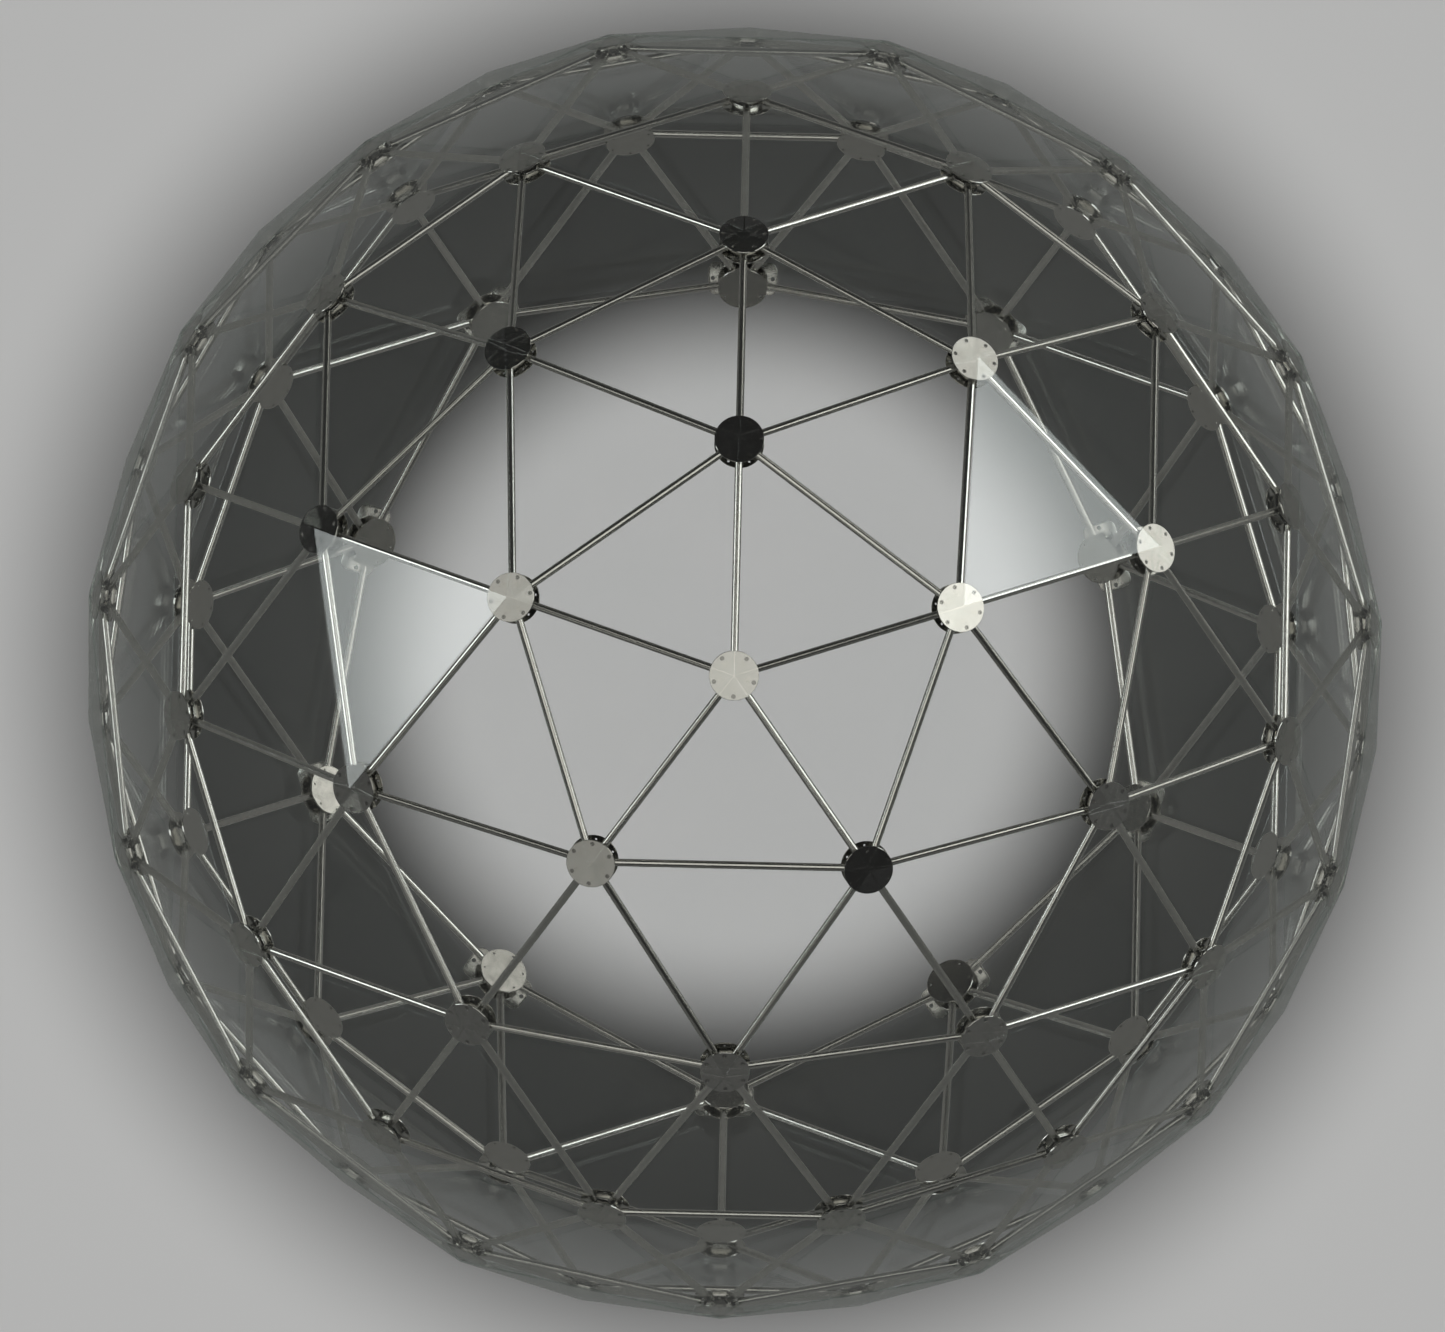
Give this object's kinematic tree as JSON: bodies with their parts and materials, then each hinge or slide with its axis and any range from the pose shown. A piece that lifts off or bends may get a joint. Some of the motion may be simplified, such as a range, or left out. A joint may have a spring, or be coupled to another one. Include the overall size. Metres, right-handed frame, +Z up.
{
  "type": "geodesic dome climber",
  "caption": "Geodesic dome of polished steel tubes and disc hubs, clad outside in flat clear triangular panels, open at its base and standing on flat anchor feet.",
  "frame": {"origin": "on the floor under the middle of the dome", "axes": "+Z up through the top hub; +Y towards the low foot whose plate lies along X; +X to the right"},
  "size_m": [4.179, 4.1758, 3.8641],
  "materials": {
    "polished_disc": "mirror polished stainless steel",
    "polished_hub": "machined and polished stainless steel",
    "polished_tube": "polished stainless steel tube",
    "steel_screw": "plain stainless steel",
    "machined_steel": "turned stainless steel",
    "foot_steel": "ground stainless steel plate",
    "clear_panel": "clear toughened glass with ground edges",
    "clear_silicone": "clear silicone pad"
  },
  "bodies": {
    "root": {"cover_disc_top": "polished_disc", "cover_discs_ring_1": "polished_disc", "cover_discs_ring_2": "polished_disc", "cover_discs_ring_3": "polished_disc", "cover_discs_ring_4": "polished_disc", "cover_discs_ring_5": "polished_disc", "cover_discs_ring_6": "polished_disc", "cover_discs_base": "polished_disc", "hub_head_top": "polished_hub", "hub_heads_ring_1": "polished_hub", "hub_heads_ring_2": "polished_hub", "hub_heads_ring_3": "polished_hub", "hub_heads_ring_4": "polished_hub", "hub_heads_ring_5": "polished_hub", "hub_heads_ring_6": "polished_hub", "hub_heads_base": "polished_hub", "hub_foot_top": "polished_hub", "hub_feet_ring_1": "polished_hub", "hub_feet_ring_2": "polished_hub", "hub_feet_ring_3": "polished_hub", "hub_feet_ring_4": "polished_hub", "hub_feet_ring_5": "polished_hub", "hub_feet_ring_6": "polished_hub", "hub_feet_base": "polished_hub", "hoop_ring_1": "polished_tube", "hoop_ring_2": "polished_tube", "hoop_ring_3": "polished_tube", "hoop_ring_4": "polished_tube", "hoop_ring_5": "polished_tube", "hoop_ring_6": "polished_tube", "hoop_base": "polished_tube", "braces_top": "polished_tube", "braces_1_to_2": "polished_tube", "braces_2_to_3": "polished_tube", "braces_3_to_4": "polished_tube", "braces_4_to_5": "polished_tube", "braces_5_to_6": "polished_tube", "braces_6_to_base": "polished_tube", "panels_top": "clear_panel", "panels_1_to_2": "clear_panel", "panels_2_to_3": "clear_panel", "panels_3_to_4": "clear_panel", "panels_4_to_5": "clear_panel", "panels_5_to_6": "clear_panel", "panels_6_to_base": "clear_panel", "cover_screws": "steel_screw", "clamp_bolts": "machined_steel", "spacer_rings": "machined_steel", "hoop_strut_ends": "machined_steel", "brace_strut_ends": "machined_steel", "tongue_pins": "machined_steel", "panel_pads": "clear_silicone", "low_foot_plates": "foot_steel", "high_foot_plates": "foot_steel", "low_foot_posts": "foot_steel", "high_foot_posts": "foot_steel"}
  },
  "joints": []
}
